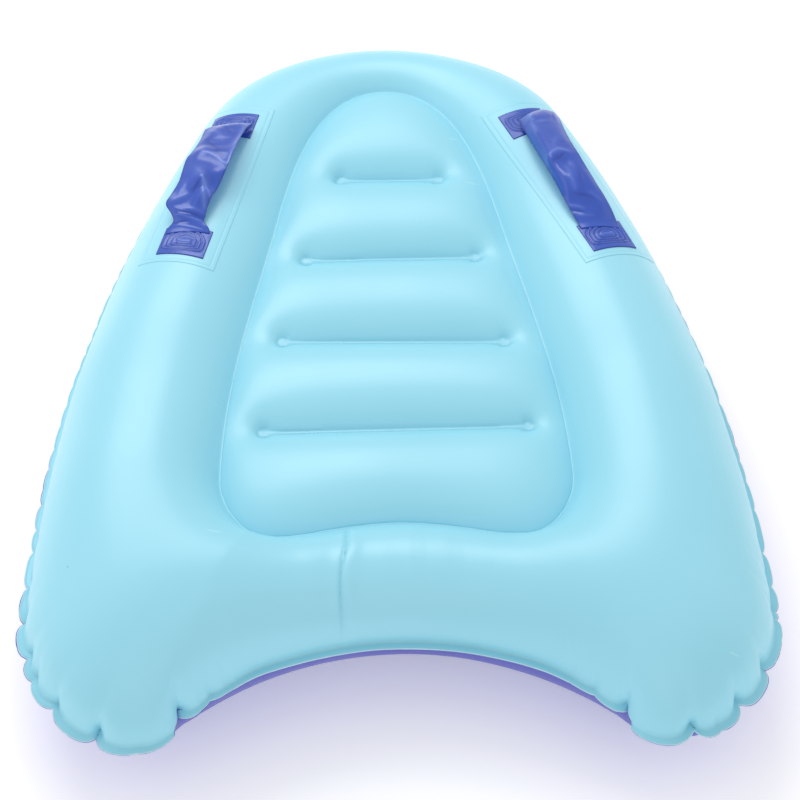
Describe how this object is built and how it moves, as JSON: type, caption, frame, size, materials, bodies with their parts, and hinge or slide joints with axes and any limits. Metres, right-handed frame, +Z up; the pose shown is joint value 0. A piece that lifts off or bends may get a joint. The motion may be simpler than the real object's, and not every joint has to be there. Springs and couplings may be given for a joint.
{
  "type": "inflatable bodyboard",
  "caption": "Inflatable bodyboard: a welded air ring round a tethered deck mattress, two soft carry handles on the nose shoulders and two air valves underneath.",
  "frame": {"origin": "on the floor under the middle of the board's outline", "axes": "+Y to the nose, +X to the rider's right, +Z up"},
  "size_m": [0.6206, 0.7949, 0.181],
  "materials": {
    "light_vinyl": "satin aqua sheet",
    "dark_vinyl": "satin dark blue sheet",
    "inner_vinyl": "unprinted sheet",
    "handle_vinyl": "glossy blue sheet",
    "valve_plastic": "clear-tinted soft plastic"
  },
  "bodies": {
    "board": {"ring_top_skin": "light_vinyl", "ring_bottom_skin": "dark_vinyl", "deck_panel": "light_vinyl", "hull_panel": "dark_vinyl", "chamber_wall": "inner_vinyl", "deck_tether_1": "inner_vinyl", "deck_tether_2": "inner_vinyl", "deck_tether_3": "inner_vinyl", "deck_tether_4": "inner_vinyl", "left_handle_patch": "light_vinyl", "left_handle_front_anchor": "handle_vinyl", "left_handle_rear_anchor": "handle_vinyl", "right_handle_patch": "light_vinyl", "right_handle_front_anchor": "handle_vinyl", "right_handle_rear_anchor": "handle_vinyl", "ring_valve_flange": "valve_plastic", "ring_valve_well": "valve_plastic", "deck_valve_flange": "valve_plastic", "deck_valve_well": "valve_plastic"},
    "left_handle": {"left_handle_strap": "handle_vinyl"},
    "right_handle": {"right_handle_strap": "handle_vinyl"},
    "ring_valve_stem": {"ring_valve_stem": "valve_plastic"},
    "ring_valve_plug": {"ring_valve_plug": "valve_plastic"},
    "ring_valve_flap": {"ring_valve_flap": "valve_plastic"},
    "deck_valve_stem": {"deck_valve_stem": "valve_plastic"},
    "deck_valve_plug": {"deck_valve_plug": "valve_plastic"},
    "deck_valve_flap": {"deck_valve_flap": "valve_plastic"}
  },
  "joints": [
    {"name": "left_handle_swing", "type": "hinge", "parent": "board", "child": "left_handle", "pos_m": [-0.14534, 0.22381, 0.15208], "axis": [-0.2963, -0.9542, 0.042], "range_deg": [-30, 30], "stiffness_Nm_per_rad": 0.03},
    {"name": "right_handle_swing", "type": "hinge", "parent": "board", "child": "right_handle", "pos_m": [0.14534, 0.22381, 0.15208], "axis": [0.2963, -0.9542, 0.042], "range_deg": [-30, 30], "stiffness_Nm_per_rad": 0.03},
    {"name": "ring_valve_pop_out", "type": "slide", "parent": "board", "child": "ring_valve_stem", "axis": [0, 0, -1], "range_m": [0, 0.012], "deforming": ["ring_valve_well"]},
    {"name": "ring_valve_plug_flip", "type": "hinge", "parent": "ring_valve_stem", "child": "ring_valve_plug", "pos_m": [0.0106, 0.3515, 0.02884], "axis": [0, -1, 0], "range_deg": [0, 120]},
    {"name": "ring_valve_flap_swing", "type": "hinge", "parent": "ring_valve_stem", "child": "ring_valve_flap", "pos_m": [0.0055, 0.3515, 0.04304], "axis": [0, 1, 0], "range_deg": [0, 60], "stiffness_Nm_per_rad": 0.0005},
    {"name": "deck_valve_pop_out", "type": "slide", "parent": "board", "child": "deck_valve_stem", "axis": [0, 0, -1], "range_m": [0, 0.012], "deforming": ["deck_valve_well"]},
    {"name": "deck_valve_plug_flip", "type": "hinge", "parent": "deck_valve_stem", "child": "deck_valve_plug", "pos_m": [0.0106, 0.1395, 0.01817], "axis": [0, -1, 0], "range_deg": [0, 120]},
    {"name": "deck_valve_flap_swing", "type": "hinge", "parent": "deck_valve_stem", "child": "deck_valve_flap", "pos_m": [0.0055, 0.1395, 0.03236], "axis": [0, 1, 0], "range_deg": [0, 60], "stiffness_Nm_per_rad": 0.0005}
  ]
}
